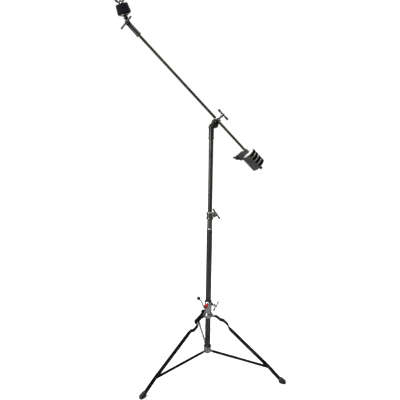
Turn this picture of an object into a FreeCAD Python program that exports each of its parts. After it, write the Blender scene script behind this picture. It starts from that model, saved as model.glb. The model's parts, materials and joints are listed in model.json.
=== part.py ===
import FreeCAD, Part
import math
import os

import Sketcher
from FreeCAD import Placement, Rotation, Vector

# Boom stand for a crash cymbal.  Millimetres, +Z up.  The stand's tube is on the Z axis, the floor is
# Z = 0, and the boom lies in the XZ plane with its cymbal end towards -X.

os.makedirs("parts", exist_ok=True)
doc = FreeCAD.newDocument("boom_stand")
sheet = doc.addObject("Spreadsheet::Sheet", "sizes")

DIMENSIONS = {
    # tubes on the stand's axis
    "base_tube_radius": 12.7, "base_tube_wall": 1.6, "base_tube_low": 73.0, "base_tube_high": 699.0,
    "upper_tube_radius": 9.525, "upper_tube_wall": 1.2, "upper_tube_low": 420.0,
    "upper_tube_high": 1146.0, "slide_fit": 0.05,
    # tripod: pivots in each leg's own upright plane
    "collar_pivot_reach": 34.0, "collar_pivot_level": 272.0, "hub_pivot_reach": 28.0,
    "hub_pivot_level": 80.0, "junction_reach": 303.0, "junction_level": 68.0,
    "leg_width": 11.0, "brace_width": 9.5, "strip_thickness": 2.0, "brace_thickness": 1.8,
    "lug_half": 1.5, "pin_radius": 2.1, "pin_fit": 0.05,
    # tripod collar
    "collar_low": 284.0, "collar_high": 344.0, "collar_radius": 17.0, "collar_screw_level": 336.0,
    "collar_screw_turn": 308.0, "cam_level": 326.0, "cam_turn": 229.2, "cam_radius": 9.5,
    # height clamp
    "clamp_shank_radius": 11.2, "clamp_low": 747.0, "clamp_high": 778.0, "clamp_radius": 15.0,
    "clamp_screw_level": 768.0, "clamp_ear_reach": 23.0, "clamp_ear_turn": 329.0,
    # tilter on top of the upper tube
    "socket_radius": 10.8, "socket_low": 1107.0, "fork_floor": 1155.0, "pivot_across": 16.0,
    "pivot_level": 1170.0, "fork_inner": 10.2, "fork_outer": 13.6, "fork_eye": 14.0,
    # boom: its axis passes the fork's pivot at this offset, at this slope
    "rod_offset": 12.4, "boom_slope": 45.6, "rod_radius": 5.25,
    "rod_wall": 1.5, "rod_low": -276.0, "rod_high": 500.0, "shank_low": 455.0, "shank_radius": 9.2,
    "head_pivot_along": 512.0, "head_lean": 17.0, "head_roll": 15.0,
    # cymbal seat, measured up the post from the head's pivot
    "post_radius": 4.0, "post_high": 87.0, "cup_radius": 20.5, "cup_level": 28.2, "felt_low": 31.0,
    "felt_thickness": 17.6, "lower_felt_radius": 25.0, "upper_felt_radius": 23.4, "felt_bore": 6.2,
    # counterweight on the lower end of the boom
    "weight_low": -270.0, "weight_high": -196.0, "weight_radius": 31.6, "cradle_radius": 33.5,
    "weight_core_radius": 27.5, "weight_screw_reach": 49.0, "weight_screw_rise": 20.0,
    # screws with a bar handle
    "screw_radius": 3.9,
}
for row, (word, number) in enumerate(DIMENSIONS.items(), start=1):
    sheet.set(f"A{row}", word.replace("_", " "))
    sheet.set(f"B{row}", str(number))
    sheet.setAlias(f"B{row}", word)
doc.recompute()


class Size:
    """A number together with the formula, in the sheet's names, that gives it."""

    def __init__(self, value, formula):
        self.value, self.formula = value, formula

    def __add__(self, other):
        other = as_size(other)
        return Size(self.value + other.value, f"({self.formula} + {other.formula})")

    def __sub__(self, other):
        other = as_size(other)
        return Size(self.value - other.value, f"({self.formula} - {other.formula})")

    def __mul__(self, other):
        other = as_size(other)
        return Size(self.value * other.value, f"({self.formula} * {other.formula})")

    def __truediv__(self, other):
        other = as_size(other)
        return Size(self.value / other.value, f"({self.formula} / {other.formula})")

    def __neg__(self):
        return Size(-self.value, f"(0 - {self.formula})")

    def __float__(self):
        return float(self.value)

    __radd__ = __add__
    __rmul__ = __mul__

    def __rsub__(self, other):
        return as_size(other) - self


def as_size(number):
    return number if isinstance(number, Size) else Size(float(number), f"({float(number)})")


def sized(word):
    return Size(float(getattr(sheet, word)), f"sizes.{word}")


class Words:
    """The sheet's cells as attributes, such as size.rod_radius."""

    def __getattr__(self, word):
        return sized(word)


size = Words()


def bind(thing, prop, number):
    """Set a property from the sheet where the number comes from it, else as it is."""
    if isinstance(number, Size):
        thing.setExpression(prop, number.formula)
    else:
        setattr(thing, prop, number)


# ---------------------------------------------------------------- building blocks

def origin_plane(body, role):
    return next(item for item in body.Origin.OriginFeatures if item.Role == role)


def new_body(label, place=None):
    body = doc.addObject("PartDesign::Body", label)
    body.Label = label
    if place:
        body.Placement = place
    return body


def outline(body, role, corners, lift=0.0):
    """A closed polygon on one of the body's own planes, every corner bound to the sheet."""
    count = len(doc.Objects)
    sketch = body.newObject("Sketcher::SketchObject", f"{body.Name}_outline_{count}")
    sketch.AttachmentSupport = [(origin_plane(body, role), "")]
    sketch.MapMode = "FlatFace"
    if isinstance(lift, Size) or lift:
        bind(sketch, "AttachmentOffset.Base.z", as_size(lift))
    ends = [Vector(float(x), float(y), 0) for x, y in corners]
    total = len(ends)
    for index in range(total):
        sketch.addGeometry(Part.LineSegment(ends[index], ends[(index + 1) % total]))
    for index in range(total):
        sketch.addConstraint(Sketcher.Constraint("Coincident", index, 2, (index + 1) % total, 1))
    for index, (x, y) in enumerate(corners):
        for kind, number, axis in (("DistanceX", x, -2), ("DistanceY", y, -1)):
            if abs(float(number)) < 1e-9:
                sketch.addConstraint(Sketcher.Constraint("PointOnObject", index, 1, axis))
                continue
            spot = sketch.addConstraint(Sketcher.Constraint(kind, -1, 1, index, 1, float(number)))
            if isinstance(number, Size):
                sketch.setExpression(f"Constraints[{spot}]", number.formula)
    return sketch


def ring_sketch(body, role, radii, centre=(0.0, 0.0), lift=0.0):
    """Circles about one centre, as for a disc, a tube's section or a bore."""
    count = len(doc.Objects)
    sketch = body.newObject("Sketcher::SketchObject", f"{body.Name}_circles_{count}")
    sketch.AttachmentSupport = [(origin_plane(body, role), "")]
    sketch.MapMode = "FlatFace"
    if isinstance(lift, Size) or lift:
        bind(sketch, "AttachmentOffset.Base.z", as_size(lift))
    middle = Vector(float(centre[0]), float(centre[1]), 0)
    for index, radius in enumerate(radii):
        sketch.addGeometry(Part.Circle(middle, Vector(0, 0, 1), float(radius)))
        spot = sketch.addConstraint(Sketcher.Constraint("Radius", index, float(radius)))
        if isinstance(radius, Size):
            sketch.setExpression(f"Constraints[{spot}]", radius.formula)
        for kind, number, axis in (("DistanceX", centre[0], -2), ("DistanceY", centre[1], -1)):
            if abs(float(number)) < 1e-9:
                sketch.addConstraint(Sketcher.Constraint("PointOnObject", index, 3, axis))
                continue
            spot = sketch.addConstraint(Sketcher.Constraint(kind, -1, 1, index, 3, float(number)))
            if isinstance(number, Size):
                sketch.setExpression(f"Constraints[{spot}]", number.formula)
    return sketch


def turn(body, profile):
    """Revolve a profile in the body's XZ plane about the body's Z axis."""
    sketch = outline(body, "XZ_Plane", profile)
    feature = body.newObject("PartDesign::Revolution", f"{sketch.Name}_turned")
    feature.Profile = sketch
    feature.ReferenceAxis = (sketch, ["V_Axis"])
    feature.Angle = 360
    return feature


def pad(body, sketch, length, symmetric=False):
    feature = body.newObject("PartDesign::Pad", f"{sketch.Name}_pad")
    feature.Profile = sketch
    if symmetric:
        feature.SideType = "Symmetric"
    bind(feature, "Length", length)
    return feature


def cut(body, sketch, length=None, symmetric=False, reverse=False):
    """A pocket that must take material away."""
    doc.recompute()
    before = body.Shape.Volume
    feature = body.newObject("PartDesign::Pocket", f"{sketch.Name}_cut")
    feature.Profile = sketch
    if symmetric:
        feature.SideType = "Symmetric"
    if length is None:
        feature.Type = "ThroughAll"
    else:
        bind(feature, "Length", length)
    feature.Reversed = reverse
    doc.recompute()
    if not body.Shape.Volume < before - 1.0:
        raise RuntimeError(f"{sketch.Name} cut nothing")
    return feature


def soften(body, radius, chosen):
    """Fillet the edges, in the body's own frame, that chosen() says yes to."""
    doc.recompute()
    base = body.Tip
    edges = enumerate(base.Shape.Edges, start=1)
    names = [f"Edge{index}" for index, edge in edges if chosen(edge)]
    if not names:
        raise RuntimeError(f"{body.Name} has no such edge")
    feature = body.newObject("PartDesign::Fillet", f"{body.Name}_fillet_{len(doc.Objects)}")
    feature.Base = (base, names)
    feature.Radius = radius
    doc.recompute()
    if "Invalid" in feature.State:
        raise RuntimeError(f"{feature.Name} cannot be rounded by {radius}")
    return feature


def turned_part(label, profile, place=None):
    body = new_body(label, place)
    turn(body, profile)
    return body


def tube(label, radius, wall, low, high, place=None):
    body = new_body(label, place)
    pad(body, ring_sketch(body, "XY_Plane", [radius, radius - wall], lift=low), high - low)
    return body


def solid_part(label, shapes, place=None):
    """A group of solids that no sketch describes well, such as bent strips and their rivets."""
    feature = doc.addObject("Part::Feature", label)
    feature.Label = label
    feature.Shape = shapes[0] if len(shapes) == 1 else Part.makeCompound(shapes)
    if place:
        feature.Placement = place
    return feature


# ---------------------------------------------------------------- frames of reference

def on_axis(turn_degrees):
    """Local X points outwards at this angle round the stand's axis."""
    return Placement(Vector(0, 0, 0), Rotation(Vector(0, 0, 1), turn_degrees))


def facing(point, outward, handle):
    """Local Z runs along outward and local X runs along the screw's bar handle."""
    z = Vector(*outward).normalize()
    x = Vector(*handle)
    x = (x - z * x.dot(z)).normalize()
    return Placement(Vector(*point), Rotation(x, z.cross(x), z, "ZXY"))


slope = math.radians(float(size.boom_slope))
boom_direction = Vector(-math.cos(slope), 0, math.sin(slope))
boom_normal = Vector(math.sin(slope), 0, math.cos(slope))
fork_pivot = Vector(float(size.pivot_across), 0, float(size.pivot_level))
boom_point = fork_pivot + boom_normal * float(size.rod_offset)
boom_frame = Placement(boom_point, Rotation(Vector(0, 1, 0), float(size.boom_slope) - 90))
head_point = boom_point + boom_direction * float(size.head_pivot_along)
head_roll = Rotation(boom_direction, -float(size.head_roll))
shank_frame = Placement(boom_point, head_roll * boom_frame.Rotation)
head_turn = head_roll * Rotation(Vector(0, 1, 0), -float(size.head_lean))
head_frame = Placement(head_point, head_turn)
head_across = head_roll * Vector(0, -1, 0)

LEG_TURNS = {"left": 210.0, "right": 330.0, "rear": 90.0}


def polar(reach, turn_degrees, level):
    angle = math.radians(turn_degrees)
    return Vector(reach * math.cos(angle), reach * math.sin(angle), level)


# ---------------------------------------------------------------- base tube and brace hub

def make_base():
    tube("base_tube", size.base_tube_radius, size.base_tube_wall, size.base_tube_low,
         size.base_tube_high)
    bore = size.base_tube_radius - size.base_tube_wall
    low = size.base_tube_low
    turned_part("tube_plug", [
        (0, low - 6), (size.base_tube_radius - 2, low - 6), (size.base_tube_radius, low - 4),
        (size.base_tube_radius, low), (bore - 0.1, low), (bore - 0.1, low + 14), (0, low + 14)])
    ring = turned_part("tube_ring", [
        (size.clamp_shank_radius + 0.1, size.base_tube_high),
        (size.base_tube_radius - 0.1, size.base_tube_high),
        (size.base_tube_radius - 0.1, size.base_tube_high + 5),
        (size.base_tube_radius - 1.0, size.base_tube_high + 6),
        (size.clamp_shank_radius + 0.1, size.base_tube_high + 6)])
    return ring


def make_brace_hub():
    """A ring on the foot of the tube with a flared lip and three lugs for the braces."""
    body = new_body("brace_hub")
    bore = size.base_tube_radius + size.slide_fit
    level = size.hub_pivot_level
    turn(body, [(bore, level - 8), (bore + 3.2, level - 8), (bore + 4.2, level - 6),
                (bore + 4.2, level + 10), (bore + 3.0, level + 14), (bore + 6.4, level + 22),
                (bore + 6.0, level + 24), (bore, level + 24)])
    lug = outline(body, "XZ_Plane", [
        (bore + 2, level - 6.5), (size.hub_pivot_reach - 1, level - 6),
        (size.hub_pivot_reach + 3.6, level - 4), (size.hub_pivot_reach + 5, level),
        (size.hub_pivot_reach + 3.6, level + 4), (size.hub_pivot_reach - 1, level + 6),
        (bore + 2, level + 9)])
    lug_pad = pad(body, lug, size.lug_half * 2, symmetric=True)
    hole = ring_sketch(body, "XZ_Plane", [size.pin_radius + size.pin_fit],
                       (size.hub_pivot_reach, level))
    lug_hole = cut(body, hole, 8.0, symmetric=True)
    repeat = body.newObject("PartDesign::PolarPattern", "brace_hub_lugs")
    repeat.Originals = [lug_pad, lug_hole]
    repeat.Axis = (origin_plane(body, "Z_Axis"), [""])
    repeat.Angle = 360
    repeat.Occurrences = 3
    body.Tip = repeat
    body.Placement = on_axis(LEG_TURNS["rear"])


def pivot_pin(reach, level, half, head_radius):
    """A rivet across a leg's upright plane, with a domed head on each side."""
    radius = float(size.pin_radius)
    pin = Part.makeCylinder(radius, 2 * half, Vector(reach, -half, level), Vector(0, 1, 0))
    for side in (-1, 1):
        base = Vector(reach, side * half, level)
        head = Part.makeCone(head_radius, head_radius * 0.62, 1.5, base, Vector(0, side, 0))
        pin = pin.fuse(head)
    return pin.removeSplitter()


def around(shape, turn_degrees):
    copy = shape.copy()
    copy.rotate(Vector(0, 0, 0), Vector(0, 0, 1), turn_degrees)
    return copy


# ---------------------------------------------------------------- legs and braces

def strip(points, width, near, far):
    """A flat strip on edge: its centre line is offset by half its width, with round ends."""
    runs = [Part.makeLine(Vector(x1, 0, z1), Vector(x2, 0, z2))
            for (x1, z1), (x2, z2) in zip(points, points[1:])]
    plate = Part.Face(Part.Wire(runs).makeOffset2D(width / 2, 0, False, False, True))
    plate.translate(Vector(0, near, 0))
    solid = plate.extrude(Vector(0, far - near, 0))
    return solid


def straight_strip(start, end, width, near, far):
    """A flat straight strip on edge with round ends."""
    first, last = Vector(start[0], 0, start[1]), Vector(end[0], 0, end[1])
    along = (last - first).normalize()
    aside = Vector(-along.z, 0, along.x) * (width / 2)
    reach = along * (width / 2)
    edges = [Part.makeLine(first + aside, last + aside),
             Part.Arc(last + aside, last + reach, last - aside).toShape(),
             Part.makeLine(last - aside, first - aside),
             Part.Arc(first - aside, first - reach, first + aside).toShape()]
    plate = Part.Face(Part.Wire(edges))
    plate.translate(Vector(0, near, 0))
    return plate.extrude(Vector(0, far - near, 0))


def drilled(solid, holes, radius):
    for reach, level in holes:
        solid = solid.cut(Part.makeCylinder(radius, 60, Vector(reach, -30, level), Vector(0, 1, 0)))
    return solid


def smooth_path(start, ways, pieces):
    """A curve through a link's bends, as a chain of short runs."""
    curve = Part.BSplineCurve()
    curve.interpolate([Vector(x, 0, z) for x, z in [start] + ways])
    first, last = curve.FirstParameter, curve.LastParameter
    spots = [curve.value(first + (last - first) * step / pieces) for step in range(pieces + 1)]
    return [(spot.x, spot.z) for spot in spots]


def side_step(reach, start, end):
    """Goes smoothly from 0 to 1 between two reaches."""
    share = min(max((reach - start) / (end - start), 0.0), 1.0)
    return share * share * (3 - 2 * share)


def joggled_plate(path, width, thick, middle):
    """A bent strip on edge that also steps sideways half way along and back again."""
    step, first, last, above_everything = 14.0, 20, 136, 320
    out_starts, out_ends, back_starts, back_ends = 58, 76, 92, 108
    plan = [(reach, middle + step * (side_step(reach, out_starts, out_ends)
                                     - side_step(reach, back_starts, back_ends)))
            for reach in range(first, last + 1, 2)]
    rows = [[(x, y + side * thick / 2) for x, y in plan] for side in (-1, 1)]
    corners = [Vector(x, y, 0) for x, y in rows[0] + rows[1][::-1] + rows[0][:1]]
    column = Part.Face(Part.makePolygon(corners)).extrude(Vector(0, 0, above_everything))
    plate = strip(path, width, middle - thick, middle + step + thick).common(column)
    if len(plate.Solids) != 1:
        raise RuntimeError("the joggled strip is not one solid")
    return plate.Solids[0]


def make_leg(name, turn_degrees):
    place = on_axis(turn_degrees)
    pivot = (float(size.collar_pivot_reach), float(size.collar_pivot_level))
    junction = (float(size.junction_reach), float(size.junction_level))
    knee_high, knee_low = (114.0, 218.3), (126.0, 208.7)
    width, thick = float(size.leg_width), float(size.strip_thickness)
    bore = float(size.pin_radius + size.pin_fit)
    inner, link = 4.2, 2.1          # half gaps between the two outer strips and the two link plates

    bends = [(44, 271.3), (56, 263.5), (68, 254.5), (80, 244.6), (93, 234.9), (104, 226.2),
             knee_high, knee_low]
    path = smooth_path(pivot, bends, 14)
    link_plates = [drilled(joggled_plate(path, width - 0.6, thick, side * (link + thick / 2)),
                           [pivot], bore) for side in (-1, 1)]
    solid_part(f"leg_link_{name}", link_plates, place)

    line = [knee_high, junction, (361.0, 14.6)]
    strips = [strip(line, width, near, near + thick) for near in (-inner - thick, inner)]
    solid_part(f"leg_strips_{name}", strips, place)

    outer = inner + thick
    rivets = []
    for reach, level in (knee_high, knee_low):
        head_low = Part.makeCylinder(3.4, 1.4, Vector(reach, -outer - 1.4, level), Vector(0, 1, 0))
        head_high = Part.makeCylinder(3.4, 1.4, Vector(reach, outer, level), Vector(0, 1, 0))
        spacer = Part.makeCylinder(3.2, 2 * link, Vector(reach, -link, level), Vector(0, 1, 0))
        rivets += [head_low, head_high, spacer]
    for side in (-1, 1):
        start = Vector(junction[0], side * outer, junction[1])
        rivets.append(Part.makeCone(4.0, 2.8, 1.8, start, Vector(0, side, 0)))
    solid_part(f"leg_rivets_{name}", rivets, place)
    make_foot(name, place)


def make_foot(name, place):
    """A moulded rubber boot with a flat sole, pushed over the ends of the two strips."""
    boot = new_body(f"foot_{name}", place)
    side = outline(boot, "XZ_Plane", [(357, 0), (378, 0), (384, 5), (385, 13), (379, 22),
                                      (369, 28.5), (360, 31), (352, 24), (350.5, 16), (353, 5)])
    pad(boot, side, 21.0, symmetric=True)
    soften(boot, 3.0, lambda edge: edge.BoundBox.YLength > 20 and edge.BoundBox.ZMin > 4)
    soften(boot, 2.4, lambda edge: edge.BoundBox.YLength < 1e-3 and edge.BoundBox.ZMin > 2)
    slot = outline(boot, "XZ_Plane", [(372.2, 12.6), (350.9, 32.4), (342.4, 23.3), (363.7, 3.5)])
    cut(boot, slot, 2 * (4.2 + float(size.strip_thickness)) + 0.2, symmetric=True)


def make_brace(name, turn_degrees):
    place = on_axis(turn_degrees)
    hub = (float(size.hub_pivot_reach), float(size.hub_pivot_level))
    junction = (float(size.junction_reach), float(size.junction_level))
    bore = float(size.pin_radius + size.pin_fit)
    near, thick = 1.8, float(size.brace_thickness)
    width = float(size.brace_width)
    strips = [drilled(straight_strip(hub, junction, width, start, start + thick), [hub], bore)
              for start in (-near - thick, near)]
    solid_part(f"brace_{name}", strips, place)
    spacers = []
    for part in (0.34, 0.68, 1.0):
        reach = hub[0] + (junction[0] - hub[0]) * part
        level = hub[1] + (junction[1] - hub[1]) * part
        spacers.append(Part.makeCylinder(3.0, 2 * near, Vector(reach, -near, level), Vector(0, 1, 0)))
    solid_part(f"brace_spacers_{name}", spacers, place)


# ---------------------------------------------------------------- screws with a bar handle

def bar_screw(label, place, stem, reach, neck=5.5, bar=8.0, thick=6.0, stem_radius=None):
    """A screw: stem from 0 to stem along local Z, a conical hub, and a bar handle along local X."""
    body = new_body(label, place)
    radius = stem_radius or size.screw_radius
    turn(body, [(0, 0), (radius, 0), (radius, stem), (neck + 1.4, stem), (neck + 1.4, stem + 2),
                (neck, stem + 2.5), (neck - 1.2, stem + 9 + bar), (0, stem + 9 + bar)])
    low = stem + 6
    handle = outline(body, "XZ_Plane", [
        (-reach, low + 1.5), (-reach + 2, low + 0.3), (-7, low + 1.2), (7, low + 1.2),
        (reach - 2, low + 0.3), (reach, low + 1.5), (reach, low + bar + 1), (reach - 2, low + bar + 2),
        (7, low + bar), (-7, low + bar), (-reach + 2, low + bar + 2), (-reach, low + bar + 1)])
    pad(body, handle, thick, symmetric=True)

    def long_edge(edge):
        box = edge.BoundBox
        return box.XLength > 8 and box.YLength < 1e-3 and abs(abs(box.YMin) - thick / 2) < 1e-3
    soften(body, 1.6, long_edge)


# ---------------------------------------------------------------- tripod collar

def make_collar():
    """A casting that slides on the base tube: three leg lugs, a screw boss and a cam boss."""
    body = new_body("tripod_collar")
    bore = size.base_tube_radius + size.slide_fit
    low, high, skin = size.collar_low, size.collar_high, size.collar_radius
    level = size.collar_pivot_level
    turn(body, [(bore, level - 9), (skin + 3.0, level - 9), (skin + 4.6, level - 6),
                (skin + 4.6, level + 5), (skin + 2.4, level + 8.5), (skin - 0.4, low + 3),
                (skin - 0.4, high - 8), (skin + 1.2, high - 6), (skin + 1.2, high - 1.5),
                (skin - 0.4, high), (bore, high)])
    reach = size.collar_pivot_reach
    lug = outline(body, "XZ_Plane", [
        (skin - 2, level - 8.5), (reach, level - 5.6), (reach + 3.9, level - 3.9),
        (reach + 5.4, level), (reach + 3.9, level + 3.9), (reach, level + 5.6),
        (skin - 2, level + 8.5)])
    lug_pad = pad(body, lug, size.lug_half * 2, symmetric=True)
    hole = ring_sketch(body, "XZ_Plane", [size.pin_radius + size.pin_fit], (reach, level))
    lug_hole = cut(body, hole, 8.0, symmetric=True)
    repeat = body.newObject("PartDesign::PolarPattern", "collar_lugs")
    repeat.Originals = [lug_pad, lug_hole]
    repeat.Axis = (origin_plane(body, "Z_Axis"), [""])
    repeat.Angle = 360
    repeat.Occurrences = 3
    body.Tip = repeat
    screw_hole = ring_sketch(body, "XZ_Plane", [size.screw_radius + size.pin_fit],
                             (0, size.collar_screw_level))
    screw_hole.AttachmentOffset = Placement(
        Vector(0, 0, 0), Rotation(Vector(0, 1, 0), float(size.collar_screw_turn)))
    cut(body, screw_hole, 30.0, reverse=True)
    body.Placement = on_axis(LEG_TURNS["rear"])


def boss(radius, near, far, turn_degrees, level):
    """A round boss that stands out from the axis."""
    direction = polar(1.0, turn_degrees, 0.0)
    return Part.makeCylinder(radius, far - near, polar(near, turn_degrees, level), direction)


def make_collar_bosses():
    """Screw socket and cam socket, pressed into the collar's wall as separate turned pieces."""
    screw_turn, cam_turn = float(size.collar_screw_turn), float(size.cam_turn)
    screw_level, cam_level = float(size.collar_screw_level), float(size.cam_level)
    skin = float(size.collar_radius)
    bore = float(size.screw_radius + size.pin_fit)
    screw_boss = boss(7.4, skin - 3.0, skin + 9.0, screw_turn, screw_level)
    screw_boss = screw_boss.cut(boss(bore, 0, 60, screw_turn, screw_level))
    keep_out = Part.makeCylinder(skin + 1.25, 200, Vector(0, 0, float(size.collar_low) - 60))
    screw_boss = screw_boss.cut(keep_out)
    solid_part("collar_boss", [screw_boss])

    cam = boss(float(size.cam_radius), skin - 3.0, 29.0, cam_turn, cam_level)
    cam = cam.cut(boss(3.05, 0, 60, cam_turn, cam_level)).cut(keep_out)
    solid_part("cam_bush", [cam])


def make_lever():
    """A bent cam lever with a ball on its end; it turns on the axis of the red bush."""
    turn_degrees, level = float(size.cam_turn), float(size.cam_level)
    outward = polar(1.0, turn_degrees, 0.0)
    sideways = Vector(outward.y, -outward.x, 0)

    def spot(reach, aside, up):
        return outward * reach + sideways * aside + Vector(0, 0, level + up)

    spindle = boss(3.0, 18.6, 34.0, turn_degrees, level)
    eye = boss(6.4, 29.4, 34.0, turn_degrees, level)
    points = [spot(32.6, 4, 3.2), spot(33.4, 11, 13), spot(35, 15, 24), spot(36.5, 24, 33)]
    path = Part.BSplineCurve()
    path.interpolate(points)
    start = path.tangent(path.FirstParameter)[0]
    ring = Part.Wire(Part.Circle(points[0], start, 2.9).toShape())
    arm = Part.Wire(path.toShape()).makePipeShell([ring], True, True)
    lever = arm.fuse(spindle).fuse(eye).removeSplitter()
    ball_centre = spot(37.6, 30.0, 40.0)
    ball = Part.makeSphere(8.8, ball_centre)
    socket = Part.makeSphere(8.95, ball_centre)
    solid_part("lever_arm", [lever.cut(socket)])
    solid_part("lever_ball", [ball])


# ---------------------------------------------------------------- height clamp

def make_height_clamp():
    """A cup on a thin shank at the top of the base tube, split on one side between two ears."""
    body = new_body("height_clamp", on_axis(float(size.clamp_ear_turn)))
    bore = size.upper_tube_radius + 0.8
    shank, low, high, skin = (size.clamp_shank_radius, size.clamp_low, size.clamp_high,
                              size.clamp_radius)
    inside = size.base_tube_radius - size.base_tube_wall - 0.05
    turn(body, [(bore, size.base_tube_high - 40), (inside, size.base_tube_high - 40),
                (inside, size.base_tube_high + 1), (shank, size.base_tube_high + 1),
                (shank, low - 1), (skin + 1.0, low + 1), (skin + 1.0, low + 5), (skin - 1.2, low + 9),
                (skin - 1.2, high - 7), (skin + 1.2, high - 4), (skin + 0.4, high),
                (bore + 1.6, high), (bore, high - 3)])
    reach, level = size.clamp_ear_reach, size.clamp_screw_level
    ears = outline(body, "XZ_Plane", [
        (skin - 2.6, level - 10), (reach + 4, level - 9), (reach + 8, level - 4),
        (reach + 8, level + 4), (reach + 4, level + 9), (skin - 2.6, level + 10)])
    pad(body, ears, 17.0, symmetric=True)
    slit = outline(body, "XZ_Plane", [(bore - 1, low - 4), (reach + 12, low - 4),
                                      (reach + 12, high + 2), (bore - 1, high + 2)])
    cut(body, slit, 3.0, symmetric=True)
    cut(body, ring_sketch(body, "XZ_Plane", [size.screw_radius + size.pin_fit], (reach, level)),
        40.0, symmetric=True)
    soften(body, 1.2, lambda edge: edge.BoundBox.YLength < 1e-3
           and edge.BoundBox.XMin > float(skin) and edge.BoundBox.ZLength > 3
           and abs(abs(edge.BoundBox.YMin) - 8.5) < 1e-3)
    bush_outer = bore - 0.02
    turned_part("clamp_bush", [
        (size.upper_tube_radius + size.slide_fit, size.base_tube_high - 38),
        (bush_outer, size.base_tube_high - 38), (bush_outer, high + 0.05),
        (bush_outer + 1.9, high + 0.05), (bush_outer + 1.4, high + 1.6),
        (size.upper_tube_radius + size.slide_fit, high + 1.6)])


def clamp_screw_place():
    ear_turn = float(size.clamp_ear_turn)
    outward = polar(1.0, ear_turn + 90, 0.0)
    start = polar(float(size.clamp_ear_reach), ear_turn, float(size.clamp_screw_level)) - outward * 11.0
    handle = polar(20.0, ear_turn, -25.0)
    return facing(start, outward, handle)


# ---------------------------------------------------------------- upper tube and boom tilter

def make_tilter_base():
    """A socket over the tube's end that carries a fork; the fork stands to one side of the tube."""
    body = new_body("tilter_socket")
    bore = size.upper_tube_radius + size.slide_fit
    skin, low, floor = size.socket_radius, size.socket_low, size.fork_floor
    turn(body, [(bore, low), (skin, low), (skin, floor - 10), (skin + 2.2, floor - 5),
                (skin + 2.2, floor - 1), (0, floor - 1), (0, size.upper_tube_high + 0.1),
                (bore, size.upper_tube_high + 0.1)])
    x, z, eye = size.pivot_across, size.pivot_level, size.fork_eye
    fork = outline(body, "XZ_Plane", [
        (x - eye, z - 6), (-11.0, floor - 6), (-8.0, floor - 8.5), (x - 2, floor - 8.5),
        (x + 8, floor - 5), (x + eye * 0.866, z - eye * 0.5), (x + eye, z),
        (x + eye * 0.866, z + eye * 0.5), (x + eye * 0.5, z + eye * 0.866), (x, z + eye),
        (x - eye * 0.5, z + eye * 0.866), (x - eye * 0.866, z + eye * 0.5), (x - eye, z)])
    pad(body, fork, size.fork_outer * 2, symmetric=True)
    gap = outline(body, "XZ_Plane", [(-30.0, z + 40), (-30.0, floor - 1), (x + 4, floor - 1),
                                     (x + 12, floor - 12), (x + 40, floor - 12), (x + 40, z + 40)])
    cut(body, gap, size.fork_inner * 2, symmetric=True)
    cut(body, ring_sketch(body, "XZ_Plane", [size.screw_radius + size.pin_fit], (x, z)), 60.0,
        symmetric=True)
    soften(body, 1.2, lambda edge: edge.BoundBox.YLength < 1e-3
           and abs(abs(edge.BoundBox.YMin) - 13.6) < 1e-3 and edge.BoundBox.ZMin > float(floor) - 13
           and len(edge.Vertexes) == 2)
    turned_part("socket_ring", [
        (bore + 0.2, low - 6), (skin + 0.6, low - 6), (skin + 1.2, low - 5), (skin + 1.2, low - 1.5),
        (skin + 0.6, low - 0.1), (bore + 0.2, low - 0.1)])
    nut = Placement(Vector(float(x), -float(size.fork_outer) - 0.1, float(z)),
                    Rotation(Vector(1, 0, 0), 90))
    turned_part("tilt_nut", [
        (size.screw_radius + size.pin_fit, 0), (10.0, 0), (10.0, 2.2), (7.4, 3.4), (7.0, 6.6),
        (5.6, 8.0), (0, 8.6), (0, 4.0), (size.screw_radius + size.pin_fit, 4.0)], nut)


def make_boom_clamp():
    """An eye for the pivot and a barrel for the rod, in one casting that tilts in the fork."""
    body = new_body("boom_clamp", boom_frame)
    pivot_across = -size.rod_offset
    wide = (size.fork_inner - 0.4) * 2
    eye = [(pivot_across + 12.0 * math.cos(math.radians(a)), 12.0 * math.sin(math.radians(a)))
           for a in range(45, 316, 30)]
    block = outline(body, "XZ_Plane", eye + [(-6.0, -11.5), (7.0, -11.5), (9.2, -9.5),
                                             (9.2, 9.5), (7.0, 11.5), (-6.0, 11.5)])
    pad(body, block, wide, symmetric=True)
    cut(body, ring_sketch(body, "XY_Plane", [size.rod_radius + size.slide_fit], lift=-30.0), 60.0,
        reverse=True)
    cut(body, ring_sketch(body, "XZ_Plane", [size.screw_radius + size.pin_fit], (pivot_across, 0)),
        60.0, symmetric=True)
    cut(body, ring_sketch(body, "YZ_Plane", [size.screw_radius + size.pin_fit], lift=0.5), 20.0,
        reverse=True)
    soften(body, 1.5, lambda edge: edge.BoundBox.ZLength < 40 and len(edge.Vertexes) == 2
           and edge.Curve.TypeId == "Part::GeomLine"
           and abs(abs(edge.CenterOfMass.y) - float(wide) / 2) < 1e-3)


# ---------------------------------------------------------------- boom and its ends

def make_boom():
    tube("boom_rod", size.rod_radius, size.rod_wall, size.rod_low, size.rod_high, boom_frame)
    bore = size.rod_radius - size.rod_wall - 0.05
    low = size.rod_low
    turned_part("rod_cap", [
        (0, low - 6.5), (size.rod_radius - 0.8, low - 6.5), (size.rod_radius + 0.9, low - 4.5),
        (size.rod_radius + 0.9, low - 0.05), (bore, low - 0.05), (bore, low + 12), (0, low + 12)],
        boom_frame)
    make_shank()
    skin = size.shank_radius
    turned_part("shank_ring", [
        (size.rod_radius + 0.1, size.shank_low - 5), (skin + 0.4, size.shank_low - 5),
        (skin + 1.3, size.shank_low - 4), (skin + 1.3, size.shank_low - 1.2),
        (skin + 0.4, size.shank_low - 0.1), (size.rod_radius + 0.1, size.shank_low - 0.1)],
        boom_frame)


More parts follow.
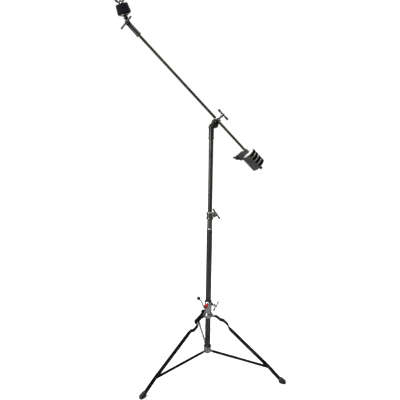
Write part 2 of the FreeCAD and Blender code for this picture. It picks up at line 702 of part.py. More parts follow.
def make_shank():
    """The lower half of the head: a sleeve on the rod's end with a slotted eye."""
    body = new_body("head_shank", shank_frame)
    skin, low, centre = size.shank_radius, size.shank_low, size.head_pivot_along
    turn(body, [(size.rod_radius + 0.05, low), (skin, low), (skin, centre - 13), (skin - 1.5, centre - 11),
                (0, centre - 11), (0, size.rod_high + 0.1), (size.rod_radius + 0.05, size.rod_high + 0.1)])
    eye = [(9 * math.cos(math.radians(a)), centre + 9 * math.sin(math.radians(a)))
           for a in range(0, 181, 30)]
    pad(body, outline(body, "XZ_Plane", [(-7.5, centre - 11.6), (7.5, centre - 11.6)] + eye), 14.0,
        symmetric=True)
    slot = outline(body, "XZ_Plane", [(-14.0, centre - 10.4), (14.0, centre - 10.4),
                                      (14.0, centre + 14), (-14.0, centre + 14)])
    cut(body, slot, 5.6, symmetric=True)
    cut(body, ring_sketch(body, "XZ_Plane", [3.1], (0, centre)), 40.0, symmetric=True)


def make_head():
    """The upper half of the head: a toothed disc, a seat and the threaded post."""
    body = new_body("tilter_head", head_frame)
    turn(body, [(0, 11), (3.4, 9.6), (5.0, 12), (8.6, 14), (9.4, 16), (9.4, 18.4), (6.0, 19.4),
                (size.post_radius, 20.4), (size.post_radius, size.post_high - 1.2),
                (size.post_radius - 1.2, size.post_high), (0, size.post_high)])
    disc = [(9 * math.cos(math.radians(a)), 9 * math.sin(math.radians(a))) for a in range(0, 360, 15)]
    pad(body, outline(body, "XZ_Plane", disc), 5.0, symmetric=True)
    neck = outline(body, "XZ_Plane", [(-4.0, 5.0), (4.0, 5.0), (5.0, 14.0), (-5.0, 14.0)])
    pad(body, neck, 5.0, symmetric=True)
    cut(body, ring_sketch(body, "XZ_Plane", [3.1], (0, 0)), 20.0, symmetric=True)

    cup, level = size.cup_radius, size.cup_level
    hole = size.post_radius + 0.05
    turned_part("cup_washer", [
        (hole, 20.6), (6.4, 20.6), (7.4, 21.8), (9.0, level - 2.0), (cup - 1.0, level),
        (cup, level + 0.8), (cup, level + 2.0), (cup - 0.8, level + 2.4), (hole, level + 0.6)],
        head_frame)
    felt = size.felt_low
    top = felt + size.felt_thickness * 2 + 0.3
    turned_part("post_sleeve", [
        (hole, level + 0.9), (5.9, level + 0.9), (5.9, top + 0.6), (hole, top + 0.6)], head_frame)


def make_felts():
    bore, low, thick = size.felt_bore, size.felt_low, size.felt_thickness
    for label, start, radius, upper in (
            ("lower_felt", low, size.lower_felt_radius, size.upper_felt_radius + 0.6),
            ("upper_felt", low + thick + 0.3, size.upper_felt_radius + 0.4,
             size.upper_felt_radius - 1.0)):
        turned_part(label, [
            (bore, start), (radius - 1.5, start), (radius, start + 1.5), (upper, start + thick - 1.5),
            (upper - 1.5, start + thick), (bore, start + thick)], head_frame)


def make_wing_nut():
    """A cast wing nut: a conical hub on the post with two raised wings."""
    body = new_body("wing_nut", head_frame)
    start = size.felt_low + size.felt_thickness * 2 + 1.6
    hole = size.post_radius + size.slide_fit
    turn(body, [(hole, start), (9.5, start), (9.5, start + 2.0), (7.6, start + 3.2),
                (6.0, start + 9.5), (hole, start + 9.5)])
    for side in (-1, 1):
        wing = outline(body, "XZ_Plane", [
            (side * 5.6, start + 2.5), (side * 10.0, start + 4.0), (side * 15.0, start + 7.5),
            (side * 19.5, start + 11.5), (side * 21.0, start + 15.0), (side * 19.5, start + 19.0),
            (side * 16.0, start + 20.5), (side * 12.5, start + 18.5), (side * 9.5, start + 12.5),
            (side * 5.6, start + 8.5)])
        pad(body, wing, 4.2, symmetric=True)
    doc.recompute()
    soften(body, 0.7, lambda edge: len(edge.Vertexes) == 2 and edge.Curve.TypeId == "Part::GeomLine"
           and abs(edge.CenterOfMass.x) > 11 and abs(abs(edge.CenterOfMass.y) - 2.1) < 1e-3)


def make_counterweight():
    """Four steel discs on a core, held in a cast cradle that a screw clamps on the rod."""
    low, high = float(size.weight_low), float(size.weight_high)
    radius, bore = float(size.weight_radius), float(size.rod_radius + size.slide_fit)
    core = float(size.weight_core_radius)
    disc_count, disc_share = 4, 0.66
    pitch = (high - low) / disc_count
    thick = pitch * disc_share
    discs = []
    for index in range(disc_count):
        start = low + pitch * index + (pitch - thick) / 2
        disc = Part.makeCylinder(radius, thick, Vector(0, 0, start))
        rims = [edge for edge in disc.Edges if edge.Curve.TypeId == "Part::GeomCircle"]
        disc = disc.makeFillet(1.2, rims)
        discs.append(disc.cut(Part.makeCylinder(core + 0.05, thick, Vector(0, 0, start))))
    solid_part("weight_discs", discs, boom_frame)
    turned_part("weight_core", [(bore, low - 2.0), (11.0, low - 2.0), (core, low), (core, high),
                                (11.0, high + 2.0), (bore, high + 2.0)], boom_frame)

    outer = float(size.cradle_radius)
    shell = Part.makeCylinder(outer, high - low + 4, Vector(0, 0, low - 2))
    shell = shell.makeFillet(3.0, [edge for edge in shell.Edges
                                   if edge.Curve.TypeId == "Part::GeomCircle"])
    shell = shell.cut(Part.makeCylinder(radius + 0.1, high - low + 10, Vector(0, 0, low - 5)))
    keep = Part.makeBox(60, 120, 200, Vector(-66, -60, low - 40))
    shell = shell.common(keep)
    eye_reach, eye_level = float(size.weight_screw_reach), high + float(size.weight_screw_rise)
    web = Part.makePolygon([Vector(x, 0, high + z) for x, z in [
        (-outer + 0.3, -24), (1.1 - outer, -24), (1.1 - outer, 2.2), (-bore - 0.5, 2.2),
        (-bore - 0.5, 18), (-12, 24), (-17, 25.5), (-34, 26), (-45, 28.5), (-52, 27), (-56, 22),
        (-55.5, 16.5), (-51, 12.5), (-44, 11), (-39, 5), (0.2 - outer, -6), (-outer + 0.3, -24)]])
    web_thick, slit_wide = 14.0, 2.0
    web = Part.Face(web)
    web.translate(Vector(0, -web_thick / 2, 0))
    web = web.extrude(Vector(0, web_thick, 0))
    barrel = Part.makeCylinder(10.5, 15.8, Vector(0, 0, high + 2.2))
    cradle = shell.fuse(web).fuse(barrel)
    cradle = cradle.cut(Part.makeCylinder(bore, 300, Vector(0, 0, low - 60)))
    slit = Part.makeBox(60, slit_wide, 40, Vector(-64, -slit_wide / 2, high + 4))
    screw_hole = Part.makeCylinder(float(size.screw_radius + size.pin_fit), 40,
                                   Vector(-eye_reach, -20, eye_level), Vector(0, 1, 0))
    cradle = cradle.cut(slit).cut(screw_hole)
    solid_part("weight_cradle", [cradle.removeSplitter()], boom_frame)


# ---------------------------------------------------------------- make everything

make_base()
make_brace_hub()
hub_pin = pivot_pin(float(size.hub_pivot_reach), float(size.hub_pivot_level), 3.8, 3.6)
solid_part("hub_pins", [around(hub_pin, angle) for angle in LEG_TURNS.values()])
make_collar()
collar_pin = pivot_pin(float(size.collar_pivot_reach), float(size.collar_pivot_level), 4.3, 3.8)
solid_part("collar_pins", [around(collar_pin, angle) for angle in LEG_TURNS.values()])
make_collar_bosses()
make_lever()
for leg_name, leg_turn in LEG_TURNS.items():
    make_leg(leg_name, leg_turn)
    make_brace(leg_name, leg_turn)

screw_turn = float(size.collar_screw_turn)
bar_screw("collar_screw",
          facing(polar(13.0, screw_turn, float(size.collar_screw_level)), polar(1, screw_turn, 0),
                 polar(0.72, screw_turn + 90, 0.70)), 24.5, 25.0)
make_height_clamp()
bar_screw("clamp_screw", clamp_screw_place(), 22.0, 28.0)

tube("upper_tube", size.upper_tube_radius, size.upper_tube_wall, size.upper_tube_low,
     size.upper_tube_high)
make_tilter_base()
bar_screw("tilt_screw", facing(fork_pivot + Vector(0, -17.4, 0), (0, 1, 0), (0.8, 0, 0.6)), 31.4,
          26.0)
make_boom_clamp()
bar_screw("boom_screw",
          facing(boom_point + boom_normal * 5.6, boom_normal, boom_direction * -1), 17.0, 30.0)
make_boom()
make_head()
bar_screw("head_screw", facing(head_point - head_across * 8.0, head_across, (0.66, 0, 0.75)), 24.5,
          31.0, bar=7.0, stem_radius=3.05)
make_felts()
make_wing_nut()
make_counterweight()
screw_spot = (boom_point + boom_direction * float(size.weight_high + size.weight_screw_rise)
              - boom_normal * float(size.weight_screw_reach) + Vector(0, 8.5, 0))
bar_screw("weight_screw", facing(screw_spot, (0, -1, 0), (0.96, 0, -0.27)), 16.5, 22.0, bar=7.0)
doc.recompute()

# ---------------------------------------------------------------- check, then write each piece

pieces = [item for item in doc.Objects
          if item.TypeId in ("PartDesign::Body", "Part::Feature") and item.Label == item.Name]
for item in doc.Objects:
    if "Invalid" in item.State or "Error" in item.State:
        raise RuntimeError(f"{item.Name} is {item.State}")
for piece in pieces:
    if piece.Shape.isNull() or not piece.Shape.isValid() or not piece.Shape.Solids:
        raise RuntimeError(f"{piece.Label} has no valid solid")
for piece in pieces:
    piece.Shape.exportStep(os.path.join("parts", f"{piece.Label}.step"))
    print(piece.Label, len(piece.Shape.Solids), round(piece.Shape.Volume), piece.Shape.BoundBox)
print(len(pieces), "pieces")
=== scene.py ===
import json
import math

import bmesh
import bpy
from mathutils import Matrix, Vector, noise


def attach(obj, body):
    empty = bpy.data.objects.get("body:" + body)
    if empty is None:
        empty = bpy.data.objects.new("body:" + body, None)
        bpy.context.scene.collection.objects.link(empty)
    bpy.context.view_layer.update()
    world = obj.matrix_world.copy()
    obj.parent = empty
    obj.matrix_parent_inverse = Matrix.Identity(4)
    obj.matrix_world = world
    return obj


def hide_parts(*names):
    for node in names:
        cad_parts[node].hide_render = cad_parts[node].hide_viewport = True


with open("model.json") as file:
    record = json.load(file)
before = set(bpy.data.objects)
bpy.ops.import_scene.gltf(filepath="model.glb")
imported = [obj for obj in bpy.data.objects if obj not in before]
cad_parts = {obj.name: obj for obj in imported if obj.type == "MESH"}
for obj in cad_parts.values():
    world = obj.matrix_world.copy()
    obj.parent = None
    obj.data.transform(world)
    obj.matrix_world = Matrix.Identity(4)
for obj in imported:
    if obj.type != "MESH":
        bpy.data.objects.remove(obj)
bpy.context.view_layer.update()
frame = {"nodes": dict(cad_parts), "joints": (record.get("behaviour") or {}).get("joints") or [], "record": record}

RECORD = frame["record"]
JOINTS = {joint["name"]: joint for joint in frame["joints"]}
MM = 0.001

# Heights along the cymbal post, and widths on it, in millimetres.
NUT_PIVOT_HEIGHT = 71.0
NUT_LOW = 67.8
POST_BORE_RADIUS = 4.1
FELT_THICKNESS = 17.6
FELT_RIM = 1.9
FELTS = {"lower_felt": (31.0, (26.0, 26.0, 24.9)), "upper_felt": (48.9, (24.6, 24.0, 22.8))}
THREAD_PITCH = 1.25
THREAD_DEPTH = 0.5
THREAD_ABOVE_NUT = (78.2, 86.4)

# The boom's lower end, in millimetres from frame_point, and its axis, in metres from the tilt pivot.
ROD_END = -276.0
BOOM_OFFSET = 0.0124


# ---------------------------------------------------------------- view

def point_camera():
    """The camera stands to the cymbal side of the boom's broad side, a little above the clamp."""
    azimuth, pitch, roll = math.radians(80.7), math.radians(-14.7), math.radians(0.67)
    place = Vector((-0.3185, -1.6699, 1.280))
    forward = Vector((math.cos(pitch) * math.cos(azimuth), math.cos(pitch) * math.sin(azimuth),
                      math.sin(pitch)))
    data = bpy.data.cameras.new("camera")
    data.lens, data.sensor_width = 36.0, 36.0
    data.clip_start, data.clip_end = 0.01, 200.0
    camera = bpy.data.objects.new("camera", data)
    turn = forward.to_track_quat("-Z", "Y").to_matrix().to_4x4()
    camera.matrix_world = Matrix.Translation(place) @ turn @ Matrix.Rotation(roll, 4, "Z")
    bpy.context.scene.collection.objects.link(camera)
    bpy.context.scene.camera = camera


def soft_light(name, place, target, width, height, watts):
    """A rectangular softbox that faces its target; lengths are in metres."""
    data = bpy.data.lights.new(name, "AREA")
    data.shape = "RECTANGLE"
    data.size = width
    data.size_y = height
    data.energy = watts
    lamp = bpy.data.objects.new(name, data)
    way = (Vector(target) - Vector(place)).to_track_quat("-Z", "Y").to_matrix().to_4x4()
    lamp.matrix_world = Matrix.Translation(Vector(place)) @ way
    bpy.context.scene.collection.objects.link(lamp)


def light_studio():
    """An overhead softbox, tall strips that draw lines on the chrome, and a broad sun.

    The room is white where it is seen directly, and dim in reflections and bounced light.
    """
    world = bpy.data.worlds.new("studio")
    bpy.context.scene.world = world
    world.use_nodes = True
    tree = world.node_tree
    tree.nodes.clear()
    output = tree.nodes.new("ShaderNodeOutputWorld")
    mix = tree.nodes.new("ShaderNodeMixShader")
    seen = tree.nodes.new("ShaderNodeBackground")
    seen.inputs["Color"].default_value = (1, 1, 1, 1)
    seen.inputs["Strength"].default_value = 1.0
    room = tree.nodes.new("ShaderNodeBackground")
    room.inputs["Color"].default_value = (0.55, 0.56, 0.58, 1)
    room.inputs["Strength"].default_value = 0.24
    path = tree.nodes.new("ShaderNodeLightPath")
    tree.links.new(path.outputs["Is Camera Ray"], mix.inputs[0])
    tree.links.new(room.outputs[0], mix.inputs[1])
    tree.links.new(seen.outputs[0], mix.inputs[2])
    tree.links.new(mix.outputs[0], output.inputs[0])
    soft_light("overhead", (0.2, -0.3, 3.6), (0, 0, 0), 2.2, 2.2, 60)
    soft_light("left_strip", (-2.4, -1.6, 1.5), (0, 0, 0.9), 0.9, 2.8, 44)
    soft_light("right_strip", (2.4, 1.2, 1.3), (0, 0, 0.9), 0.4, 2.4, 26)
    soft_light("back_strip", (-1.4, 2.6, 1.4), (0, 0, 0.9), 0.5, 2.4, 26)
    sky = bpy.data.lights.new("sky_sheet", "SUN")
    sky.energy, sky.angle = 2.6, math.radians(14)
    lamp = bpy.data.objects.new("sky_sheet", sky)
    lamp.rotation_euler = (math.radians(12), math.radians(-38), 0)
    bpy.context.scene.collection.objects.link(lamp)


def lay_floor():
    """Pale paper where it is seen directly, and dim grey in reflections and bounced light."""
    mesh = bpy.data.meshes.new("floor")
    form = bmesh.new()
    bmesh.ops.create_circle(form, cap_ends=True, segments=96, radius=14.0)
    form.to_mesh(mesh)
    form.free()
    floor = bpy.data.objects.new("floor", mesh)
    floor.location.z = -0.0002
    bpy.context.scene.collection.objects.link(floor)
    shade = Shade("floor_paper", roughness=0.95)
    fine = shade.noise(40.0, 4.0)
    shade.colour(shade.blend(fine, (0.84, 0.84, 0.84), (0.88, 0.88, 0.88)))
    shade.bump(fine, 0.05, 0.001)
    shade.shader.inputs["Emission Color"].default_value = (1, 1, 1, 1)
    shade.shader.inputs["Emission Strength"].default_value = 0.36
    shade.shader.inputs["Specular IOR Level"].default_value = 0.0
    dim = shade.nodes.new("ShaderNodeBsdfDiffuse")
    dim.inputs["Color"].default_value = (0.24, 0.24, 0.24, 1)
    seen = shade.nodes.new("ShaderNodeLightPath")
    mix = shade.nodes.new("ShaderNodeMixShader")
    output = shade.nodes["Material Output"]
    shade.link(seen.outputs["Is Camera Ray"], mix.inputs[0])
    shade.link(dim.outputs[0], mix.inputs[1])
    shade.link(shade.shader.outputs[0], mix.inputs[2])
    shade.link(mix.outputs[0], output.inputs["Surface"])
    floor.data.materials.append(shade.material)


# ---------------------------------------------------------------- materials

class Shade:
    """A node material: noises in the piece's own frame drive its colour, roughness and bump."""

    def __init__(self, name, metallic=0.0, roughness=0.5, coat=0.0, sheen=0.0, turn=(0, 0, 0)):
        self.material = bpy.data.materials.new(name)
        self.material.use_nodes = True
        self.tree = self.material.node_tree
        self.nodes = self.tree.nodes
        self.shader = self.nodes["Principled BSDF"]
        self.shader.inputs["Metallic"].default_value = metallic
        self.shader.inputs["Roughness"].default_value = roughness
        self.shader.inputs["Coat Weight"].default_value = coat
        self.shader.inputs["Sheen Weight"].default_value = sheen
        place = self.nodes.new("ShaderNodeTexCoord")
        turned = self.nodes.new("ShaderNodeMapping")
        turned.inputs["Rotation"].default_value = turn
        self.link(place.outputs["Object"], turned.inputs["Vector"])
        self.place = turned.outputs["Vector"]

    def link(self, output, into):
        self.tree.links.new(output, into)

    def noise(self, scale, detail=3.0, stretch=(1, 1, 1), rough=0.55):
        """Noise of about scale waves in a metre, stretched along any of the piece's axes."""
        mapping = self.nodes.new("ShaderNodeMapping")
        mapping.inputs["Scale"].default_value = stretch
        self.link(self.place, mapping.inputs["Vector"])
        node = self.nodes.new("ShaderNodeTexNoise")
        node.inputs["Scale"].default_value = scale
        node.inputs["Detail"].default_value = detail
        node.inputs["Roughness"].default_value = rough
        self.link(mapping.outputs["Vector"], node.inputs["Vector"])
        return node.outputs["Fac"]

    def band(self, value, low, high, to_low=0.0, to_high=1.0):
        node = self.nodes.new("ShaderNodeMapRange")
        for label, number in (("From Min", low), ("From Max", high), ("To Min", to_low),
                              ("To Max", to_high)):
            node.inputs[label].default_value = number
        self.link(value, node.inputs["Value"])
        return node.outputs["Result"]

    def sum(self, one, two, operation="ADD"):
        node = self.nodes.new("ShaderNodeMath")
        node.operation = operation
        for index, value in enumerate((one, two)):
            if isinstance(value, (int, float)):
                node.inputs[index].default_value = value
            else:
                self.link(value, node.inputs[index])
        return node.outputs["Value"]

    def blend(self, factor, one, two):
        node = self.nodes.new("ShaderNodeMix")
        node.data_type = "RGBA"
        self.link(factor, node.inputs["Factor"])
        for label, value in ((6, one), (7, two)):
            if isinstance(value, tuple):
                node.inputs[label].default_value = (*value, 1.0)
            else:
                self.link(value, node.inputs[label])
        return node.outputs[2]

    def colour(self, value):
        self.link(value, self.shader.inputs["Base Color"])

    def roughness(self, value):
        self.link(value, self.shader.inputs["Roughness"])

    def bump(self, height, strength, distance=0.0005):
        node = self.nodes.new("ShaderNodeBump")
        node.inputs["Strength"].default_value = strength
        node.inputs["Distance"].default_value = distance
        self.link(height, node.inputs["Height"])
        if self.shader.inputs["Normal"].is_linked:
            self.link(self.shader.inputs["Normal"].links[0].from_socket, node.inputs["Normal"])
        self.link(node.outputs["Normal"], self.shader.inputs["Normal"])


def plated(name, dark, light, smooth, worn, stretch=(1, 1, 1), turn=(0, 0, 0), grain=0.12,
           peel=0.1):
    """Chrome plate: cloudy reflections, drawn grain, fine scratches and dulled, handled patches."""
    shade = Shade(name, metallic=1.0, turn=turn)
    shade.shader.inputs["Specular Tint"].default_value = (0.12, 0.12, 0.12, 1)
    cloud = shade.noise(9.0, 4.0)
    grain_lines = shade.noise(260.0, 3.0, stretch)
    scratch = shade.band(shade.noise(95.0, 5.0, stretch, rough=0.7), 0.60, 0.66)
    smudge = shade.band(shade.noise(23.0, 5.0, rough=0.62), 0.52, 0.68)
    tone = shade.blend(shade.band(cloud, 0.35, 0.65), dark, light)
    bare = tuple(min(1, part * 1.5) for part in light)
    tone = shade.blend(shade.sum(scratch, 0.35, "MULTIPLY"), tone, bare)
    shade.colour(tone)
    rough = shade.sum(shade.band(grain_lines, 0.3, 0.7, smooth, smooth + 0.06),
                      shade.sum(smudge, worn, "MULTIPLY"))
    shade.roughness(shade.sum(rough, shade.sum(scratch, 0.1, "MULTIPLY")))
    shade.bump(grain_lines, grain, 0.00006)
    shade.bump(shade.noise(520.0, 2.0), peel, 0.00005)
    return shade.material


def moulded(name, dark, light, smooth, rough, grain, scale=700.0, coat=0.0):
    """Plastic or rubber: faint mottling, uneven gloss and a fine moulded grain."""
    shade = Shade(name, roughness=rough, coat=coat)
    shade.shader.inputs["Specular IOR Level"].default_value = 0.3
    mottle = shade.noise(60.0, 5.0, rough=0.65)
    fine = shade.noise(scale, 3.0)
    dust = shade.band(shade.noise(150.0, 6.0, rough=0.75), 0.58, 0.72)
    tone = shade.blend(shade.band(mottle, 0.35, 0.65), dark, light)
    shade.colour(shade.blend(shade.sum(dust, 0.12, "MULTIPLY"), tone, (0.35, 0.34, 0.33)))
    gloss = shade.band(mottle, 0.3, 0.7, smooth, rough)
    shade.roughness(shade.sum(gloss, shade.sum(dust, 0.1, "MULTIPLY")))
    shade.bump(fine, grain, 0.0002)
    return shade.material


def cast_grey():
    """Tumbled grey zinc casting: soft mottling, small pits and lighter rubbed patches."""
    shade = Shade("cast_grey", metallic=0.55, roughness=0.45)
    cloud = shade.noise(30.0, 5.0, rough=0.6)
    pits = shade.band(shade.noise(420.0, 4.0), 0.30, 0.42)
    rubbed = shade.band(shade.noise(55.0, 6.0, rough=0.7), 0.55, 0.70)
    tone = shade.blend(shade.band(cloud, 0.3, 0.7), (0.075, 0.08, 0.077), (0.13, 0.135, 0.13))
    tone = shade.blend(shade.sum(rubbed, 0.3, "MULTIPLY"), tone, (0.34, 0.34, 0.33))
    shade.colour(shade.blend(pits, (0.05, 0.05, 0.05), tone))
    shade.roughness(shade.band(cloud, 0.3, 0.7, 0.34, 0.52))
    shade.bump(pits, 0.25, 0.0002)
    shade.bump(shade.noise(130.0, 4.0), 0.2, 0.0006)
    return shade.material


def felt():
    """Pressed wool: matted fibres, small clumps and a fuzzy sheen."""
    shade = Shade("felt", roughness=0.95, sheen=0.04)
    shade.shader.inputs["Sheen Roughness"].default_value = 0.6
    shade.shader.inputs["Specular IOR Level"].default_value = 0.12
    fibre = shade.noise(900.0, 6.0, (1.0, 1.0, 2.2), rough=0.75)
    clump = shade.noise(160.0, 5.0, rough=0.7)
    tone = shade.blend(shade.band(clump, 0.3, 0.7), (0.003, 0.0035, 0.006), (0.010, 0.011, 0.017))
    shade.colour(shade.blend(shade.band(fibre, 0.56, 0.74), tone, (0.030, 0.032, 0.042)))
    shade.roughness(shade.band(fibre, 0.3, 0.7, 0.86, 1.0))
    shade.bump(clump, 0.5, 0.0009)
    shade.bump(fibre, 0.6, 0.0004)
    return shade.material


def zinc_painted_reflection():
    """White zinc plate, slightly warm, with a little brushing round it; its bright near-white tone is a painted
    reflection on the counterweight's rings.
    """
    shade = Shade("zinc_painted_reflection", metallic=0.25, roughness=0.3)
    cloud = shade.noise(45.0, 4.0)
    shade.colour(shade.blend(shade.band(cloud, 0.3, 0.7), (0.72, 0.70, 0.65), (0.92, 0.91, 0.88)))
    shade.roughness(shade.band(cloud, 0.3, 0.7, 0.24, 0.4))
    shade.bump(shade.noise(300.0, 3.0), 0.1, 0.0001)
    return shade.material


BOOM_LEAN = (0, math.radians(44.4), 0)


def make_materials():
    drawn = (1.0, 1.0, 0.012)
    # The chrome finishes are one plating in lit and shaded copies: the cast chrome keeps a pale, chrome-like tone,
    # while the much darker base tones of the tube, strip and screw chrome are painted shade from dim reflections.
    return {
        "tube_chrome": plated("tube_chrome", (0.07, 0.07, 0.065), (0.14, 0.137, 0.125), 0.22, 0.12,
                              drawn),
        "cast_chrome": plated("cast_chrome", (0.42, 0.42, 0.41), (0.72, 0.715, 0.69), 0.13, 0.10,
                              grain=0.05, peel=0.3),
        "strip_chrome": plated("strip_chrome", (0.016, 0.016, 0.016), (0.050, 0.049, 0.046), 0.24,
                               0.14, peel=0.2),
        "screw_chrome": plated("screw_chrome", (0.055, 0.055, 0.054), (0.16, 0.157, 0.15), 0.16, 0.13,
                               peel=0.2),
        "rod_steel": plated("rod_steel", (0.08, 0.070, 0.056), (0.20, 0.17, 0.125), 0.26, 0.12,
                            drawn, BOOM_LEAN, grain=0.25),
        "black_metal": plated("black_metal", (0.022, 0.020, 0.018), (0.06, 0.052, 0.042), 0.2, 0.2),
        "cast_grey": cast_grey(),
        "rubber": moulded("rubber", (0.010, 0.010, 0.011), (0.026, 0.026, 0.027), 0.50, 0.72, 0.35),
        "red_plastic": moulded("red_plastic", (0.52, 0.012, 0.012), (0.70, 0.035, 0.028), 0.24, 0.36,
                               0.12, coat=0.3),
        "nylon": moulded("nylon", (0.62, 0.60, 0.55), (0.78, 0.77, 0.72), 0.35, 0.5, 0.15),
        "black_plastic": moulded("black_plastic", (0.010, 0.010, 0.010), (0.024, 0.023, 0.022), 0.22,
                                 0.34, 0.1, coat=0.2),
        "felt": felt(),
        # The counterweight core's near-white plate is a painted reflection.
        "zinc_painted_reflection": zinc_painted_reflection(),
        # A mid-toned copy of the chrome, lighter than the tube chrome and darker than the cast chrome: its tone is
        # painted light and shade for the head shank and the height clamp.
        "chrome_painted_midtone": plated("chrome_painted_midtone", (0.09, 0.09, 0.085), (0.24, 0.235, 0.22), 0.24, 0.12,
                               drawn, BOOM_LEAN),
    }


# Parts that take a darker or brighter finish than their slot's: painted shade and painted light.
SPECIAL = {"tilter_socket": "tube_chrome", "socket_ring": "tube_chrome", "head_shank": "chrome_painted_midtone",
           "shank_ring": "tube_chrome", "weight_core": "zinc_painted_reflection", "tube_ring": "cast_chrome",
           "height_clamp": "chrome_painted_midtone"}


def paint_frame(materials):
    """Every CAD node gets the finish of its slot in the record, or a darker or brighter copy of it that paints the
    shade or light on that part.
    """
    for entry in RECORD["subparts"]:
        node = frame["nodes"][entry["node"]]
        finish = SPECIAL.get(entry["node"], entry["material_slot"])
        for slot in node.material_slots:
            slot.material = materials[finish]


# ---------------------------------------------------------------- shapes

def skin(name, tubes, finish, slot, body, *nodes):
    """One mesh from closed tubes, each a list of rings with the same number of points."""
    form = bmesh.new()
    for rings in tubes:
        rows = [[form.verts.new(point) for point in ring] for ring in rings]
        for row, following in zip(rows, rows[1:]):
            for index in range(len(row)):
                after = (index + 1) % len(row)
                form.faces.new((row[index], row[after], following[after], following[index]))
        if (rings[0][0] - rings[-1][0]).length > 1e-7:
            form.faces.new(rows[0][::-1])
            form.faces.new(rows[-1])
        else:
            bmesh.ops.remove_doubles(form, verts=rows[0] + rows[-1], dist=1e-7)
    bmesh.ops.recalc_face_normals(form, faces=form.faces)
    mesh = bpy.data.meshes.new(name)
    form.to_mesh(mesh)
    form.free()
    mesh.shade_smooth()
    mesh.set_sharp_from_angle(angle=math.radians(50))
    piece = bpy.data.objects.new(name, mesh)
    mesh.materials.append(finish)
    bpy.context.scene.collection.objects.link(piece)
    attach(piece, body)
    if nodes:
        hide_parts(*nodes)
    return piece


def local_frame(point, along, across):
    """Local Z runs along, and local X runs across as nearly as it can."""
    z = Vector(along).normalized()
    x = Vector(across)
    x = (x - z * x.dot(z)).normalized()
    turn = Matrix((x, z.cross(x), z)).transposed().to_4x4()
    return Matrix.Translation(Vector(point)) @ turn


def turned(place, profile, count=32, wobble=None):
    """Rings round local Z from (radius, height) pairs in millimetres."""
    rings = []
    for radius, height in profile:
        ring = []
        for index in range(count):
            angle = math.tau * index / count
            reach = radius + (wobble(angle, height) if wobble else 0.0)
            ring.append(place @ (Vector((reach * math.cos(angle), reach * math.sin(angle),
                                         height)) * MM))
        rings.append(ring)
    return rings


def threaded(place, radius, low, high, count=24):
    """A screw thread from low to high on local Z: the crest climbs one pitch in each turn."""
    rings = []
    steps = max(int((high - low) / THREAD_PITCH * 4), 2)
    for step in range(steps + 1):
        height = low + (high - low) * step / steps
        ring = []
        for index in range(count):
            share = (height / THREAD_PITCH - index / count) % 1.0
            reach = radius - THREAD_DEPTH * abs(2 * share - 1)
            angle = math.tau * index / count
            ring.append(place @ (Vector((reach * math.cos(angle), reach * math.sin(angle),
                                         height)) * MM))
        rings.append(ring)
    return rings


def rounded_bar(place, stations, count=20, power=2.6):
    """Rings across a bar: each station is (centre, way to one side, way to the other side)."""
    rings = []
    for centre, one, other in stations:
        ring = []
        for index in range(count):
            angle = math.tau * index / count
            c, s = math.cos(angle), math.sin(angle)
            ring.append(place @ ((centre + one * math.copysign(abs(c) ** (2 / power), c)
                                  + other * math.copysign(abs(s) ** (2 / power), s)) * MM))
        rings.append(ring)
    return rings


def ease(share):
    share = min(max(share, 0.0), 1.0)
    return share * share * (3 - 2 * share)


# ---------------------------------------------------------------- screws with bar handles

def joint_frame(name, across, back=0.0):
    joint = JOINTS[name]
    along = Vector(joint["axis"])
    return local_frame(Vector(joint["pos_m"]) - along * back * MM, along, across)


def tee_screw(label, joint, across, back, stem, reach, bar=8.0, radius=3.9, wave=0.0,
              finish="screw_chrome"):
    """A threaded stem, a waisted hub and a cast bar that swells towards its rounded ends."""
    place = joint_frame(joint, across, back)
    low = stem + 6.0
    middle = low + bar / 2 + 1
    stations = []
    for step in range(29):
        share = -1 + 2 * step / 28
        x = reach * math.sin(share * math.pi / 2)
        grow = 0.62 + 0.38 * ease(abs(x) / reach * 1.15 - 0.1)
        cap = math.sqrt(max(1 - (max(abs(x) - reach + 3.2, 0) / 3.2) ** 2, 0.004))
        lift = wave * math.sin(x / reach * math.pi) - 0.8 * (1 - (x / reach) ** 2)
        stations.append((Vector((x, 0, middle + lift)), Vector((0, 0, bar * 0.60 * grow * cap)),
                         Vector((0, 3.6 * (0.7 + 0.3 * grow) * cap, 0))))
    hub = [(radius, stem - 0.4), (7.0, stem), (7.1, stem + 0.9), (6.9, stem + 2.0),
           (5.6, stem + 3.0), (4.7, stem + 5.0), (4.5, middle - 2), (4.7, middle + bar * 0.42),
           (3.9, middle + bar * 0.56), (2.2, middle + bar * 0.62), (0.05, middle + bar * 0.64)]
    tubes = [threaded(place, radius, 0.0, stem), turned(place, hub, 28),
             rounded_bar(place, stations)]
    skin(f"{label}_cast", tubes, finishes[finish], finish, JOINTS[joint]["child"], label)


def around_axis(angle_degrees, across=0.0, rise=0.0):
    """A direction at an angle round the stand's axis, with a part square to it and a part up."""
    angle = math.radians(angle_degrees)
    return Vector((across * math.cos(angle), across * math.sin(angle), rise))


def make_screws():
    down_boom = -Vector(JOINTS["boom_slide"]["axis"])
    tee_screw("collar_screw", "collar_screw_turn", around_axis(38, 0.72, 0.70), 0.0, 24.5, 25.0)
    tee_screw("clamp_screw", "clamp_screw_turn", around_axis(329, 20.0, -25.0), 11.0, 22.0, 28.0)
    tee_screw("tilt_screw", "tilt_screw_turn", (0.8, 0, 0.6), 17.4, 31.4, 26.0)
    tee_screw("boom_screw", "boom_screw_turn", down_boom, 0.0, 17.0, 30.0)
    tee_screw("head_screw", "head_screw_turn", (0.66, 0, 0.75), 8.0, 24.5, 31.0, 7.0, 3.05)
    tee_screw("weight_screw", "weight_screw_turn", (0.96, 0, -0.27), 8.5, 16.5, 22.0, 7.0,
              wave=1.8, finish="black_metal")


# ---------------------------------------------------------------- cymbal seat

def post_frame():
    return joint_frame("wing_nut_turn", (1, 0, 0), NUT_PIVOT_HEIGHT)


